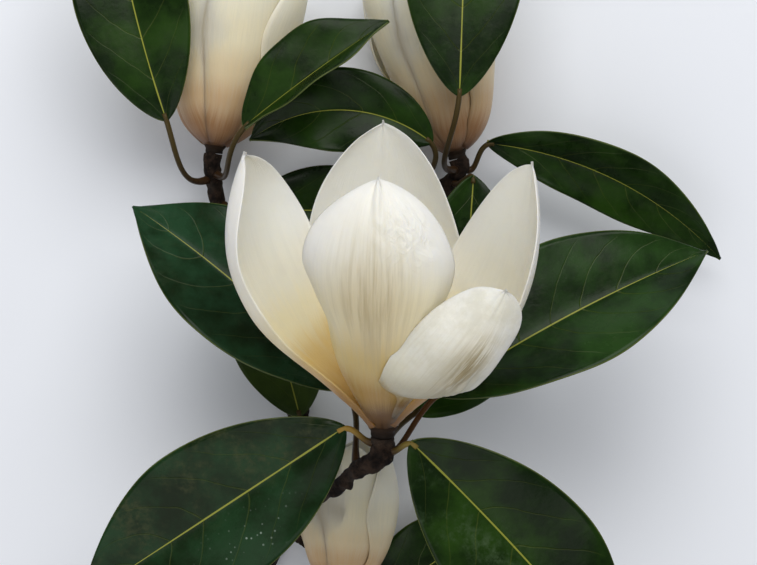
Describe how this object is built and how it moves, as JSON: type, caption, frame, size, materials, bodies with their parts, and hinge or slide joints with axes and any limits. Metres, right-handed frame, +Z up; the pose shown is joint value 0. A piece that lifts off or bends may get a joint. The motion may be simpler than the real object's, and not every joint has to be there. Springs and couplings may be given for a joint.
{
  "type": "cut flowering magnolia branch",
  "caption": "A cut branch of an evergreen magnolia lying on the ground, with a large open white bloom held above smaller half open ones and broad leathery leaves.",
  "frame": {"origin": "centre of the bounding box in plan, on the ground that the branch lies on", "axes": "+Z up from the ground, +Y along the branch from its cut end towards the upper blooms, +X to the right as seen from above"},
  "size_m": [0.2603, 0.3424, 0.1589],
  "materials": {
    "tepals": "smooth waxy ivory petal, warmer and browner towards its foot",
    "leaf": "leathery dark green leaf with a pale yellow-green midrib",
    "bark": "rough black-brown bark"
  },
  "bodies": {
    "root": {"main_stem": "bark", "front_twig": "bark", "upper_right_twig": "bark", "lower_twig": "bark", "front_bloom": "tepals", "upper_left_bloom": "tepals", "upper_right_bloom": "tepals", "lower_bloom": "tepals", "front_leaf_lower_left": "leaf", "front_leaf_lower_right": "leaf", "front_leaf_left": "leaf", "front_leaf_right": "leaf", "front_leaf_behind": "leaf", "stem_leaf": "leaf", "upper_left_leaf_right": "leaf", "upper_left_leaf_left": "leaf", "upper_left_leaf_low": "leaf", "upper_right_leaf_up": "leaf", "upper_right_leaf_right": "leaf", "upper_right_leaf_down": "leaf", "upper_right_leaf_left": "leaf", "lower_leaf": "leaf"}
  },
  "joints": []
}
